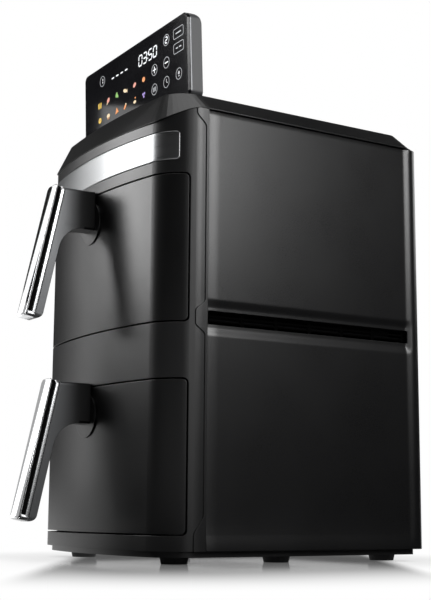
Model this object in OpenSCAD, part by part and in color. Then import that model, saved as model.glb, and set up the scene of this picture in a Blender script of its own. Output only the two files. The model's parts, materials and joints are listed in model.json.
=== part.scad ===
// Stacked two-drawer air fryer with a tilting touch panel.
// Y = 0 is the middle of the depth over handles, the front faces -Y, the floor is Z = 0.

/* [Housing] */
// Width over the side panels
body_w = 264; // [250:1:290]
// Depth from the bowed front to the back panel
body_d = 298; // [285:1:330]
// Height of the top deck above the floor
deck_z = 420.5; // [418:0.5:440]
// Height at which the top cover meets the sides
cover_z = 404; // [402:0.5:405]
// Height of the top cover's front edge
apron_z = 391.3; // [390:0.1:393]
// Height of the lower edge of the housing
skirt_z = 11.6; // [10:0.2:12]
// Moulded wall thickness
wall = 3; // [2.6:0.1:3.2]
// Radius of the bowed front
front_r = 500; // [450:10:900]
// Radius of the two front corners
corner_r = 38; // [34:1:42]
// Radius of the two back corners
rear_r = 11; // [9:0.5:14]
// How far the side borders stand proud of the front
lip = 1.2; // [0.8:0.1:1.6]
// Depth of the seam between front frame and side panels
seam_y = 52; // [51:0.5:54]
// Width of the seam
seam_gap = 0.5; // [0.3:0.1:0.6]
// Inset of the deck's rim from the sides and back
rim_in = 14.7; // [12:0.1:17]
// Setback of the deck's rim from the front
rim_front = 17; // [14:0.5:20]

/* [Side panels] */
// Depth of the pressed side fields
field_depth = 1.6; // [1:0.1:1.8]
// Width of the soft slope round a field
field_slope = 8; // [6:0.5:10]
// Lower edge of the side air slot
slot_z = 208; // [206:0.5:210]
// Height of the side air slot
slot_h = 12; // [10:0.5:14]
// Depth position of the slot's back end
slot_end = 281; // [270:1:284]

/* [Drawers] */
// Height of a drawer front
drawer_h = 132; // [126:0.5:133]
// Underside of the lower drawer front
drawer_z = 26.3; // [26:0.1:28]
// Rise from the lower drawer to the upper one
drawer_pitch = 183.5; // [183:0.5:186]
// Gap round a drawer front
drawer_gap = 1.5; // [1:0.1:1.8]
// Depth to which a drawer front wraps round the corners
drawer_wrap = 33.5; // [32:0.5:34]
// Width of a basket pan
pan_w = 214; // [190:1:216]
// Depth of a basket pan
pan_d = 224; // [200:1:226]
// Height of a basket pan
pan_h = 106; // [95:1:108]
// Wall of a basket pan
pan_wall = 2; // [1.6:0.1:2.6]
// Corner radius of a basket pan
pan_r = 24; // [18:1:28]
// Inward slope of the pan walls from rim to floor
pan_draft = 5; // [2:0.5:8]
// Running clearance under a pan
run_gap = 0.3; // [0.25:0.05:0.4]

/* [Handles] */
// Width of a grip
grip_w = 21.6; // [19:0.2:26]
// Length of the chrome face
grip_len = 130.5; // [118:0.5:131]
// Depth of a grip from face to back
grip_t = 16.6; // [15.5:0.1:18]
// Outward lean of a grip
grip_lean = 12.3; // [9:0.1:13]
// Distance of the grip's top from the drawer front
grip_out = 41.2; // [38:0.2:46]
// Height of the grip's top above the drawer front
grip_rise = 7; // [5:0.2:8]
// Height of the neck
neck_h = 37.5; // [32:0.5:40]
// Radius of the round rose at the neck's root
rose_r = 20.5; // [18:0.5:22]
// Thickness of the rose
rose_t = 1.2; // [1:0.1:3]
// Diameter of a handle screw
screw_d = 4; // [3:0.1:4.4]

/* [Touch panel] */
// Width of the tilting panel
panel_w = 216.4; // [200:0.4:220]
// Height of the panel's top above the hinge
panel_top = 85.4; // [75:0.2:92]
// Thickness of the panel
panel_t = 15.6; // [15:0.1:18]
// Forward lean of the upright panel
panel_lean = 2; // [0:0.5:4]
// Depth position of the panel hinge
hinge_y = 56; // [54:0.5:58]
// Height of the panel hinge
hinge_z = 419; // [418:0.5:419.5]
// Distance from the hinge to the panel's glass face
glass_off = 12.2; // [11.8:0.1:12.8]
// Corner radius of the panel
panel_r = 6; // [3:0.5:9]
// Diameter of the hinge pins
pin_d = 6; // [4:0.2:6.4]
// Radial running clearance of pins and shafts
fit_gap = 0.05; // [0.02:0.01:0.08]

/* [Heating] */
// Diameter of a hot-air fan
fan_d = 110; // [90:1:130]
// Number of hot-air fan blades
fan_blades = 9; // [6:1:12]
// Diameter of a motor shaft
shaft_d = 6; // [5:0.2:7]
// Diameter of the outer heater ring
heater_d = 168; // [150:1:184]
// Diameter of the heater tube
tube_d = 6.5; // [5.5:0.1:7.5]
// Sheet thickness of a cooking chamber
sheet = 0.8; // [0.6:0.1:1.5]

/* [Hidden] */
$fn = 48;
eps = 0.01;
half_w = body_w / 2;
corner_x = half_w - corner_r;
bow_angle = asin(corner_x / (front_r - corner_r));
corner_y = front_r - lip - (front_r - corner_r) * cos(bow_angle);
big = 2 * body_w;

// handle reach and the shift that puts Y = 0 midway over the whole depth
grip_edge = 0.8;
grip_reach = grip_out + (grip_len - grip_edge) * sin(grip_lean);
gland_out = 5;
nose_y = (grip_reach - body_d - gland_out) / 2;

// drawer openings and inner wall
bulk_y0 = drawer_wrap + 2.5;
bulk_y1 = bulk_y0 + wall;
open_side_y = drawer_wrap + drawer_gap;
open_r = 5;
inner_t = 2.5;
drawer_zs = [drawer_z, drawer_z + drawer_pitch];

// basket pan and the chamber round it
pan_lift = 5;
pan_y0 = drawer_wrap;
tray_rise = 14;
tray_gap = 3;
tray_t = 2;
tray_rim_h = 6;
tray_rim_t = 1.8;
tray_hole_d = 9;
bumper_r = 6;
bumper_in = 22;
bumper_end = 34;
liner_w = pan_w + 12;
liner_y0 = bulk_y1 + 0.3;
liner_y1 = pan_y0 + pan_d + 14;
liner_z0 = drawer_z + pan_lift - run_gap - sheet;
liner_h = pan_h + 42;
liner_z1 = liner_z0 + liner_h;
window_h = pan_h + 6;

vent_t = 6;
mid_z0 = liner_z0 + drawer_pitch - 1.5;

// fan stack, measured from the chamber roof
stack_y = (liner_y0 + liner_y1) / 2;
fan_h = 12;
fan_z = liner_z1 - sheet - 5 - fan_h;
fan_hub_r = 11;
blade_turn = 22;
motor_r = 30;
motor_h = 19;
cool_z = liner_z1 + motor_h + 2.5;
cool_h = 7;
cool_r = 38;
heater_z = fan_z - 6;
guard_z = heater_z - tube_d / 2 - 4;
guard_over = 8;
guard_wire = 2.4;
post_r = 3;
tail_angles = [60, 120];

// layers of a grip behind its chrome face
face_t = 1.8;
spacer_t = 3.6;
bezel_t = 4;
body_t0 = face_t + spacer_t + bezel_t;
cap_t = 3;
screw_drop = 15;
screw_pitch = 13;
screw_drops = [screw_drop, screw_drop + screw_pitch];
neck_rise = 4;
rose_drop = 25.5;
rose_seat = 0.1;
arch_r = 26;

// floor and feet
base_in = 6;
base_back = 12;
rim_r = 26;
low_r = 52;
rim_bow_r = 900;
base_z0 = 6.5;
base_top = skirt_z + 5;
foot_r = 13;
foot_x = half_w - 41.7;
foot_ys = [44.6, 152.6, body_d - 21.4];

// back of the housing
rear_w = body_w - 2 * rear_r - 4;
rear_t = wall;
duct_w = 120;
duct_h = 40;
duct_z = 86;
grille_margin = 6;
outlet_in = 10;
outlet_low = 8;
gland_in = 54;
gland_x = gland_in - half_w;
gland_z = 48;
gland_r = 8;
rear_screw_in = 9;
rear_screw_zs = [skirt_z + 12, cover_z - 14];
rear_screw_len = 12;

// power board on the back panel, above the lower duct
board_w = 120;
board_h = 62;
board_t = 1.6;
board_off = 9;
board_rise = 12;
board_edge = 10;
board_y0 = liner_y1 + board_off;
board_z0 = duct_z + duct_h + board_rise;
relay = [28, 7, 26];
relay_at = [16, 10];
choke = [14, 6, 14];
choke_at = [54, 8];
can_r = 4.5;
can_h = 7;
can_pitch = 12;
can_at = [82, 44];

// panel pieces, as depths behind the glass face
glass_t = 3;
trim_t = 1.4;
case_t = panel_t - glass_t - trim_t;
board_t1 = glass_t + 1.8;
panel_foot = 4;
panel_back_r = 11;
trough_x = panel_w / 2 + 2.5;
trough_y0 = hinge_y - glass_off - 4;
trough_y1 = hinge_y + panel_t - glass_off + 7.5;
trough_z = hinge_z - 10;
tongue_in = 18;
tongue_w = panel_w - 2 * tongue_in;
barrel_r = 6;
bracket_t = 6;
bracket_gap = 0.5;
bracket_toe = 4;
bracket_foot_t = 3;
head_r = barrel_r + 0.5;
pin_len = 17;
pin_out = 1;

// chrome band across the front, between the upper drawer and the cover
band_rise = 12.6;
band_drop = 9.9;
band_z0 = drawer_z + drawer_pitch + drawer_h + band_rise;
band_h = apron_z - band_drop - band_z0;
band_y1 = 26;
band_t = 1.6;
band_pin_x = 60;
band_pin_len = 7;

// ---------- shared shapes ----------

// moves a piece from the frame of the bowed front to the part's own frame
module place() {
    translate([0, nose_y, 0]) children();
}

// outline of the housing seen from above, moved inwards by inset
module plan(inset = 0) {
    bow_x = (front_r - inset) * sin(bow_angle);
    back = body_d - inset;
    intersection() {
        translate([0, front_r - lip]) circle(front_r - inset, $fn = 360);
        translate([-bow_x, -lip]) square([2 * bow_x, corner_y + lip]);
    }
    for (s = [-1, 1]) {
        translate([s * corner_x, corner_y]) circle(corner_r - inset, $fn = 96);
        translate([s * (half_w - rear_r), body_d - rear_r]) circle(max(rear_r - inset, 0.5));
    }
    translate([-half_w + inset, corner_y]) square([body_w - 2 * inset, body_d - rear_r - corner_y]);
    translate([rear_r - half_w, corner_y]) square([body_w - 2 * rear_r, back - corner_y]);
}

// a slice of the housing between two heights and two depths
module slice(z0, z1, y0, y1, inset = 0) {
    translate([0, 0, z0]) linear_extrude(z1 - z0) intersection() {
        plan(inset);
        translate([-big, y0]) square([2 * big, y1 - y0]);
    }
}

// draws a profile in Y and Z through a range of X
module along_x(x0, x1) {
    translate([x0, 0, 0]) rotate([90, 0, 90]) linear_extrude(x1 - x0) children();
}

// draws a profile in X and Z through a range of Y
module along_y(y0, y1) {
    translate([0, y1, 0]) rotate([90, 0, 0]) linear_extrude(y1 - y0) children();
}

// rectangle with round corners, from its lower left corner
module round_rect(w, h, r) {
    translate([r, 0]) square([w - 2 * r, h]);
    translate([0, r]) square([w, h - 2 * r]);
    for (x = [r, w - r], y = [r, h - r]) translate([x, y]) circle(r);
}

// box between two corners
module block(a, b) {
    translate(a) cube(b - a);
}

// ---------- housing ----------

// depth at which the cover's edge has risen to a height between front and side
function edge_y(t) = 10 + 32 * (1 - pow(1 - t, 0.6) * (1 - 0.35 * t));
function edge_z(t) = apron_z + (cover_z - apron_z) * t;

// everything below the cover's lower edge, seen from the side
module below_cover(shift = 0) {
    steps = 5;
    along_x(-big, big) polygon(concat(
        [[-big, skirt_z - wall], [-big, apron_z + shift]],
        [for (i = [0:steps]) [edge_y(i / steps), edge_z(i / steps) + shift]],
        [[big, cover_z + shift], [big, skirt_z - wall]]));
}

// soft step between a flush tab and the field of the front frame's side
function soft_step(s) = 3 * pow(s, 2) - 2 * pow(s, 3);

// field of the front frame's side that lies back to the level of the drawers, with a tab above and below
module pillar_field(z0, z1, rise0, rise1) {
    y_tab = 40;
    reach = seam_y - 2.5 - y_tab;
    steps = 7;
    along_x(-big, big) polygon(concat(
        [[-50, z0]],
        [for (i = [0:steps]) [y_tab + reach * soft_step(i / steps), z0 + rise0 * i / steps]],
        [for (i = [steps:-1:0]) [y_tab + reach * soft_step(i / steps), z1 - rise1 * i / steps]],
        [[-50, z1]]));
}

module drawer_opening(z) {
    z0 = z - drawer_gap;
    h = drawer_h + 2 * drawer_gap;
    along_x(-big, big) {
        translate([-50, z0]) square([50 + open_side_y - open_r, h]);
        translate([0, z0]) round_rect(open_side_y, h, open_r);
    }
}

module inner_wall(z) {
    difference() {
        slice(z - drawer_gap - wall, z + drawer_h + drawer_gap + wall, bulk_y0, bulk_y1, wall / 2);
        translate([-liner_w / 2, 0, z + pan_lift - run_gap - sheet])
            along_y(0, bulk_y1 + 1) round_rect(liner_w, window_h, 4);
    }
}

module front_frame() {
    color("#2b2b2d") place() intersection() {
        below_cover(-seam_gap / 4);
        difference() {
            union() {
                difference() {
                    slice(skirt_z, cover_z, -lip, seam_y - seam_gap / 2);
                    slice(skirt_z - 1, cover_z + 1, -lip, big, wall + lip);
                }
                for (z = drawer_zs) {
                    over = z + drawer_h + drawer_gap;
                    slice(z - drawer_gap - wall, z - drawer_gap, -lip, bulk_y1, lip + 1);
                    slice(over, over + wall, -lip, bulk_y1, lip + 1);
                    inner_wall(z);
                }
            }
            // front and pillars lie a lip deeper than the side borders
            difference() {
                union() {
                    pillar_field(slot_z + slot_h - 1, cover_z - 4, 10, 13);
                    pillar_field(skirt_z + 13, slot_z, 19, 10);
                    block([-big, -big, skirt_z - 1], [big, 40, cover_z + 1]);
                }
                slice(0, cover_z + 1, -lip, big, lip);
            }
            for (z = drawer_zs) drawer_opening(z);
            // shallow seat of the chrome band
            band_outline(0.2, wall, band_t + lip);
            // front screws of the band
            for (s = [-1, 1]) translate([s * band_pin_x, -lip, band_z0 + band_h / 2])
                rotate([-90, 0, 0]) cylinder(d = screw_d, h = 30);
        }
    }
}

// stretch of the bowed front that the chrome band covers
module band_outline(extra, deep, inset) {
    r = 4 + extra;
    difference() {
        intersection() {
            slice(band_z0 - extra, band_z0 + band_h + extra, -lip - 1, band_y1 + extra, lip - 0.3);
            along_x(-big, big) {
                translate([-50, band_z0 - extra]) square([50 + band_y1 - r, band_h + 2 * extra]);
                translate([0, band_z0 - extra]) round_rect(band_y1 + extra, band_h + 2 * extra, r);
            }
        }
        slice(band_z0 - 5, band_z0 + band_h + 5, -lip, big, inset);
    }
}

module chrome_band() {
    color("#d9dadb") place() {
        band_outline(0, wall, band_t + lip);
        for (s = [-1, 1]) translate([s * band_pin_x, bow_depth(band_pin_x) + 1, band_z0 + band_h / 2])
            rotate([-90, 0, 0]) cylinder(d = screw_d - 0.6, h = band_pin_len);
    }
}

// how far the bowed front lies behind its middle at a distance from the centre
function bow_depth(x) = front_r - sqrt(pow(front_r, 2) - pow(x, 2));

// soft-edged cutter for one pressed field in a side panel
module field(y0, y1, z0, z1) {
    layers = [[0, 0], [0.45, 0.75], [1, 1]];
    hull() for (l = layers)
        translate([half_w - field_depth * l[1], y0 + field_slope * l[0], z0 + field_slope * l[0]])
            rotate([90, 0, 90]) linear_extrude(field_depth + 0.5)
                round_rect(y1 - y0 - 2 * field_slope * l[0], z1 - z0 - 2 * field_slope * l[0], 6, $fn = 24);
}

// the right-hand side panel; the left one is its mirror image
module side_panel() {
    y0 = seam_y + seam_gap / 2;
    difference() {
        intersection() {
            slice(skirt_z, cover_z - 0.3, y0, big);
            block([rear_w / 2 + 0.3, 0, 0], [big, big, big]);
        }
        slice(skirt_z - 1, cover_z + 1, y0 - 1, big, wall);
        field(y0 + 2, body_d - rear_r - 1, slot_z + slot_h + 5, cover_z - 6);
        field(y0 + 2, body_d - rear_r - 1, skirt_z + 15, slot_z - 3);
        translate([half_w - 10, 0, 0]) along_x(0, 20) translate([0, slot_z]) {
            translate([y0 - 1, 0]) square([slot_end - y0 - 2, slot_h]);
            translate([slot_end - 20, 0]) round_rect(20, slot_h, 3);
        }
    }
    // rib that rests on the base plate's rim
    block([half_w - wall - 5, y0 + 20, base_top + 0.2], [half_w - wall + eps, body_d - 30, base_top + 4]);
}

module side_vent() {
    x1 = half_w - wall - 0.2;
    y0 = seam_y + 1;
    len = slot_end + 4 - y0;
    rows = 3;
    groups = 6;
    rim = 2;
    bar_t = 1.6;
    row_pitch = slot_h / rows;
    group_pitch = (len - 8) / groups;
    color("#0c0c0d") difference() {
        block([x1 - vent_t, y0, slot_z - 3], [x1, y0 + len, slot_z + slot_h + 3]);
        // the bars lie deep behind the slot
        block([x1 - vent_t + bar_t, y0 + rim, slot_z - 3 + rim],
            [x1 + 1, y0 + len - rim, slot_z + slot_h + 3 - rim]);
        for (i = [0:groups - 1], k = [0:rows - 1])
            block([x1 - vent_t - 1, y0 + 4 + i * group_pitch, slot_z + (k + 0.2) * row_pitch],
                [x1 + 1, y0 + (i + 1) * group_pitch, slot_z + (k + 0.8) * row_pitch]);
    }
}

// one level of the top cover's sloping faces: a bowed front and four round corners
module cover_level(x, y0, y1, r, back_r, bow_r, z) {
    c = x - r;
    c_y = y0 + r + bow_r - sqrt(pow(bow_r, 2) - pow(c, 2));
    steps = 12;
    translate([0, 0, z]) {
        linear_extrude(1) polygon([for (i = [-steps:steps])
            let (px = c * i / steps) [px, y0 + bow_r - sqrt(pow(bow_r, 2) - pow(px, 2))],
            [0, y0 + 60]]);
        for (s = [-1, 1]) {
            translate([s * c, c_y, 0]) cylinder(r = r, h = 1, $fn = 48);
            translate([s * (x - back_r), y1 - back_r, 0]) cylinder(r = back_r, h = 1, $fn = 32);
        }
    }
}

// outer form of the top cover: sloping apron in front, chamfers at the sides and back
module cover_form(inset) {
    drop = 30;
    spread = drop * rim_in / (deck_z - cover_z);
    reach = drop * rim_front / (deck_z - apron_z);
    x = half_w - rim_in - inset;
    y0 = rim_front + inset;
    y1 = body_d - rim_in - inset;
    intersection() {
        slice(apron_z - 8, deck_z, -lip, big, inset);
        hull() {
            cover_level(x, y0, y1, rim_r, rear_r, rim_bow_r, deck_z);
            cover_level(x + spread, y0 - reach, y1 + spread, low_r, rear_r + drop / 2, front_r,
                deck_z - drop);
        }
    }
}

module top_cover() {
    deck_t = 3.5;
    color("#262628") place() difference() {
        union() {
            difference() {
                cover_form(0);
                below_cover(seam_gap / 2);
                translate([0, 0, -deck_t]) cover_form(wall);
            }
            block([-trough_x - wall, trough_y0 - wall, trough_z - wall],
                [trough_x + wall, trough_y1 + wall, deck_z - 1]);
            // rim that drops inside the side and back walls
            difference() {
                slice(cover_z - 4, cover_z + 2, seam_y + 4, big, wall + 0.3);
                slice(cover_z - 5, cover_z + 3, seam_y + 3, big, wall + 2.5);
            }
        }
        block([-trough_x, trough_y0, trough_z], [trough_x, trough_y1, deck_z + 1]);
    }
}

module rear_opening(z) {
    along_y(body_d - 20, body_d + 20) translate([-duct_w / 2, z]) round_rect(duct_w, duct_h, 5);
}

module rear_panel() {
    color("#232325") place() difference() {
        block([-rear_w / 2, body_d - rear_t, skirt_z], [rear_w / 2, body_d, cover_z - 0.3]);
        for (z = [duct_z, duct_z + drawer_pitch]) rear_opening(z);
        translate([gland_x, body_d, gland_z]) rotate([90, 0, 0])
            cylinder(r = gland_r + 0.1, h = 60, center = true);
        for (s = [-1, 1], z = rear_screw_zs)
            translate([s * (rear_w / 2 - rear_screw_in), body_d, z]) rotate([90, 0, 0])
                cylinder(d = screw_d + 0.4, h = 20, center = true);
    }
}

module exhaust(z) {
    slats = 6;
    g = 0.3;
    pitch = (duct_h - 2 * grille_margin) / slats;
    difference() {
        union() {
            along_y(liner_y1 + 0.3, body_d) translate([g - duct_w / 2, z + g])
                round_rect(duct_w - 2 * g, duct_h - 2 * g, 5);
            along_y(body_d + 0.1, body_d + 2) translate([-duct_w / 2 - 4, z - 4])
                round_rect(duct_w + 8, duct_h + 8, 8);
            along_y(body_d - eps, body_d + 0.2) translate([g - duct_w / 2, z + g])
                round_rect(duct_w - 2 * g, duct_h - 2 * g, 5);
        }
        block([2.5 - duct_w / 2, 0, z + 2.5], [duct_w / 2 - 2.5, body_d - 4, z + duct_h - 2.5]);
        for (i = [0:slats - 1])
            translate([0, body_d, z + grille_margin + (i + 0.5) * pitch]) rotate([25, 0, 0])
                block([grille_margin - duct_w / 2, -12, -pitch * 0.28],
                    [duct_w / 2 - grille_margin, 12, pitch * 0.28]);
    }
}

module cord_gland() {
    color("#1b1b1c") place() translate([gland_x, body_d, gland_z]) rotate([-90, 0, 0]) {
        difference() {
            union() {
                translate([0, 0, -rear_t - 6]) cylinder(r = gland_r, h = rear_t + 6 + gland_out);
                translate([0, 0, 0.1]) cylinder(r = gland_r + 3, h = 2);
                translate([0, 0, -rear_t - 2.6]) cylinder(r = gland_r + 3, h = 2.4);
            }
            translate([0, 0, -20]) cylinder(d = 7, h = 40);
        }
    }
}

module base_plate() {
    color("#1d1d1f") place() difference() {
        union() {
            slice(base_z0, skirt_z + 0.4, -lip, body_d - base_back, base_in);
            difference() {
                slice(skirt_z, base_top, -lip, big, wall + lip + 0.3);
                slice(skirt_z + 2, base_top + 1, -lip, big, 2 * wall + lip + 0.3);
            }
            // posts that carry the lower chamber
            for (s = [-1, 1], y = [stack_y - 80, stack_y + 80])
                translate([s * (liner_w / 2 - 14), y, skirt_z]) cylinder(r = 7, h = liner_z0 - skirt_z);
        }
        // air inlet slots under the chamber
        for (i = [-6:6])
            translate([i * 12 - 2.5, stack_y - 45, -1]) cube([5, 90, base_top + 2]);
        for (s = [-1, 1], y = foot_ys) translate([s * foot_x, y, 0]) cylinder(r = 4, h = base_z0 + 3);
    }
}

module feet() {
    color("#111112") place() for (s = [-1, 1], y = foot_ys) translate([s * foot_x, y, 0]) {
        cylinder(r1 = foot_r - 1.5, r2 = foot_r, h = base_z0);
        cylinder(r = 3.9, h = base_z0 + 2.8);
    }
}

module mid_deck() {
    color("#8a8c8e") place()
        slice(mid_z0, mid_z0 + 1.2, bulk_y1 + 0.3, body_d - rear_t - 0.3, wall + vent_t + 0.5);
}

// ---------- cooking chambers and their fans, at the lower chamber's height ----------

module chamber() {
    color("#9b9da0") difference() {
        block([-liner_w / 2, liner_y0, liner_z0], [liner_w / 2, liner_y1, liner_z1]);
        block([sheet - liner_w / 2, liner_y0 - 1, liner_z0 + sheet],
            [liner_w / 2 - sheet, liner_y1 - sheet, liner_z1 - sheet]);
        translate([0, stack_y, liner_z1]) cylinder(d = shaft_d + 6, h = 10, center = true);
        for (a = tail_angles) translate([0, stack_y, liner_z1]) rotate([0, 0, a])
            translate([heater_d / 2, 0, 0]) cylinder(d = tube_d * 0.9 + 0.3, h = 10, center = true);
        // outlet to the exhaust duct
        block([outlet_in - duct_w / 2, liner_y1 - 5, duct_z + outlet_low],
            [duct_w / 2 - outlet_in, liner_y1 + 5, duct_z + duct_h - outlet_low]);
    }
}

module ring(d, tube) {
    rotate_extrude($fn = 96) translate([d / 2, 0]) circle(d = tube, $fn = 24);
}

module heater() {
    color("#6f6a66") translate([0, stack_y, heater_z]) {
        ring(heater_d, tube_d);
        ring(heater_d - 5 * tube_d, tube_d);
        for (a = [30, 150, 270]) rotate([0, 0, a]) translate([heater_d / 2 - 2.5 * tube_d, 0, 0])
            rotate([0, 90, 0]) cylinder(d = tube_d * 0.7, h = 2.5 * tube_d);
        for (a = tail_angles) rotate([0, 0, a]) translate([heater_d / 2, 0, 0])
            cylinder(d = tube_d * 0.9, h = liner_z1 - heater_z + 8);
    }
}

module heater_guard() {
    r = heater_d / 2 + guard_over;
    rings = 5;
    color("#a6a8aa") translate([0, stack_y, guard_z]) {
        linear_extrude(guard_wire / 2) {
            for (k = [1:rings]) difference() {
                circle(r * k / rings + guard_wire / 2, $fn = 96);
                circle(r * k / rings - guard_wire / 2, $fn = 96);
            }
            for (a = [0, 45, 90, 135]) rotate(a) square([2 * r, guard_wire], center = true);
        }
        for (a = [22.5:90:360]) rotate([0, 0, a]) translate([r, 0, 0])
            cylinder(r = post_r, h = liner_z1 - sheet - guard_z);
    }
}

module motor() {
    color("#7d7f82") translate([0, stack_y, liner_z1]) difference() {
        union() {
            cylinder(r = motor_r, h = motor_h);
            for (a = [45:90:360]) rotate([0, 0, a]) translate([motor_r + 4, 0, 0]) cylinder(r = 6, h = 3);
            for (a = [45:90:360]) rotate([0, 0, a]) block([motor_r - 4, -5, 0], [motor_r + 6, 5, 3]);
        }
        translate([0, 0, -1]) cylinder(d = shaft_d + 2 * fit_gap, h = motor_h + 2);
        for (a = [15:30:360]) rotate([0, 0, a]) translate([motor_r, 0, 5]) cylinder(r = 2.5, h = motor_h);
    }
}

module motor_shaft() {
    z0 = fan_z - 3;
    color("#b9bbbd") translate([0, stack_y, z0]) cylinder(d = shaft_d, h = cool_z + cool_h + 1 - z0);
}

// a wheel of straight blades on a hub, fixed on the shaft
module blade_wheel(r, h, hub_r, count, twist_deg) {
    difference() {
        union() {
            cylinder(r = hub_r, h = h);
            cylinder(r = r, h = 1.2);
            for (i = [0:count - 1]) rotate([0, 0, i * 360 / count]) translate([hub_r - 1, 0, 0])
                rotate([0, 0, twist_deg]) block([0, -0.7, 0], [(r - hub_r) * 0.93, 0.7, h]);
        }
        translate([0, 0, -1]) cylinder(d = shaft_d, h = h + 2);
    }
}

module hot_fan() {
    color("#94969a") translate([0, stack_y, fan_z])
        blade_wheel(fan_d / 2, fan_h, fan_hub_r, fan_blades, blade_turn);
}

module cooling_fan() {
    color("#303236") translate([0, stack_y, cool_z])
        blade_wheel(cool_r, cool_h, fan_hub_r, fan_blades, blade_turn);
}

module power_board() {
    post_x = board_w / 2 - board_edge;
    post_z = board_h / 2 - 2 * post_r;
    color("#2f5d3a") place() {
        translate([-board_w / 2, board_y0, board_z0]) {
            cube([board_w, board_t, board_h]);
            translate([relay_at[0], -relay[1], relay_at[1]]) cube(relay + [0, eps, 0]);
            translate([choke_at[0], -choke[1], choke_at[1]]) cube(choke + [0, eps, 0]);
            for (i = [0:2]) translate([can_at[0] + can_pitch * i, 0, can_at[1]])
                rotate([90, 0, 0]) cylinder(r = can_r, h = can_h);
        }
        for (sx = [-1, 1], sz = [-1, 1])
            translate([sx * post_x, board_y0 + board_t, board_z0 + board_h / 2 + sz * post_z])
                rotate([-90, 0, 0]) cylinder(r = post_r, h = body_d - rear_t - board_y0 - board_t);
    }
}

module housing_screws() {
    head_h = 1.8;
    color("#55575a") place() for (s = [-1, 1], z = rear_screw_zs)
        translate([s * (rear_w / 2 - rear_screw_in), body_d + 0.1, z]) rotate([90, 0, 0]) {
            translate([0, 0, -head_h]) cylinder(d = 2 * screw_d, h = head_h);
            cylinder(d = screw_d, h = rear_screw_len);
        }
}

// ---------- drawers, at the lower drawer's height ----------

module drawer_front() {
    z = drawer_z;
    corner = open_r - drawer_gap + 0.4;
    color("#19191a") difference() {
        intersection() {
            slice(z - 1, z + drawer_h + 1, -lip, drawer_wrap + 1, lip);
            along_x(-big, big) translate([-50, z]) round_rect(50 + drawer_wrap, drawer_h, corner);
        }
        slice(z + wall, z + drawer_h - wall, -lip, drawer_wrap + 1, lip + wall);
        for (drop = screw_drops) translate([0, -5, z + drawer_h - drop]) rotate([-90, 0, 0])
            cylinder(d = screw_d + 0.4, h = 20);
    }
}

module drawer_inner() {
    z = drawer_z;
    edge = wall + 0.1;
    color("#1f1f20") difference() {
        intersection() {
            slice(z + edge, z + drawer_h - edge, drawer_wrap - inner_t, drawer_wrap, lip + edge);
            along_x(-big, big) translate([0, z + edge]) round_rect(drawer_wrap, drawer_h - 2 * edge, 3);
        }
        for (s = [-1, 1]) translate([s * 70, 0, z + drawer_h / 2]) rotate([-90, 0, 0])
            cylinder(d = screw_d, h = 60);
    }
}

// solid form of a pan: a rounded rim that narrows to a rounded floor
module pan_form(grow, z0) {
    r = pan_r + grow;
    x = pan_w / 2 - pan_r;
    y0 = pan_y0 + pan_r;
    y1 = pan_y0 + pan_d - pan_r;
    top = drawer_z + pan_lift + pan_h;
    low_r = 8;
    hull() {
        for (px = [-x, x], py = [y0, y1])
            translate([px, py, top - 6]) cylinder(r = r, h = grow < 0 ? 7 : 6, $fn = 32);
        for (px = [-x, x], py = [y0, y1])
            translate([px, py, z0]) {
                cylinder(r = r - low_r - pan_draft, h = 1, $fn = 32);
                translate([0, 0, low_r]) cylinder(r = r - pan_draft, h = 1, $fn = 32);
            }
    }
}

module basket() {
    z = drawer_z + pan_lift;
    color("#2a2a2b") difference() {
        union() {
            pan_form(0, z);
            // mounting plate against the drawer front
            block([-pan_w / 2 + 6, pan_y0, z + 14], [pan_w / 2 - 6, pan_y0 + pan_wall, z + pan_h]);
        }
        pan_form(-pan_wall, z + pan_wall);
    }
}

module crisper_tray() {
    z = drawer_z + pan_lift + tray_rise;
    inset = pan_wall + pan_draft + tray_gap;
    w = pan_w - 2 * inset;
    d = pan_d - 2 * inset;
    r = pan_r - pan_draft - tray_gap;
    holes = 8;
    pitch = (w - 30) / holes;
    color("#3a3a3c") translate([-w / 2, pan_y0 + inset, z]) difference() {
        union() {
            linear_extrude(tray_t) round_rect(w, d, r);
            linear_extrude(tray_rim_h) difference() {
                round_rect(w, d, r);
                translate([tray_rim_t, tray_rim_t])
                    round_rect(w - 2 * tray_rim_t, d - 2 * tray_rim_t, r - tray_rim_t);
            }
        }
        for (i = [0:holes], j = [0:holes])
            translate([w / 2 + (i - holes / 2) * pitch, d / 2 + (j - holes / 2) * pitch, -1])
                cylinder(d = tray_hole_d, h = tray_t + 2, $fn = 24);
    }
}

module tray_bumpers() {
    z = drawer_z + pan_lift + pan_wall + fit_gap;
    x = pan_w / 2 - pan_wall - pan_draft - bumper_in;
    color("#161617") for (s = [-1, 1], y = [pan_y0 + bumper_end, pan_y0 + pan_d - bumper_end])
        translate([s * x, y, z])
            cylinder(r1 = bumper_r, r2 = bumper_r - 1, h = tray_rise - pan_wall - 2 * fit_gap);
}

// lays a piece in the grip's own frame: X across, Y into the grip, Z down from its top
module in_grip() {
    translate([0, -grip_out, drawer_z + drawer_h + grip_rise]) rotate([-grip_lean, 0, 0])
        mirror([0, 0, 1]) children();
}

// outline of the grip seen from the front, between two depths behind its face
module grip_slab(t0, t1, inset = 0) {
    translate([0, t1, 0]) rotate([90, 0, 0]) linear_extrude(t1 - t0)
        translate([inset - grip_w / 2, inset]) round_rect(grip_w - 2 * inset, grip_len - 2 * inset, 4.5);
}

// depth of the grip's leaning back at a height
function grip_back(z) = grip_t / cos(grip_lean) - grip_out
    - (drawer_z + drawer_h + grip_rise - z) * tan(grip_lean);

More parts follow.
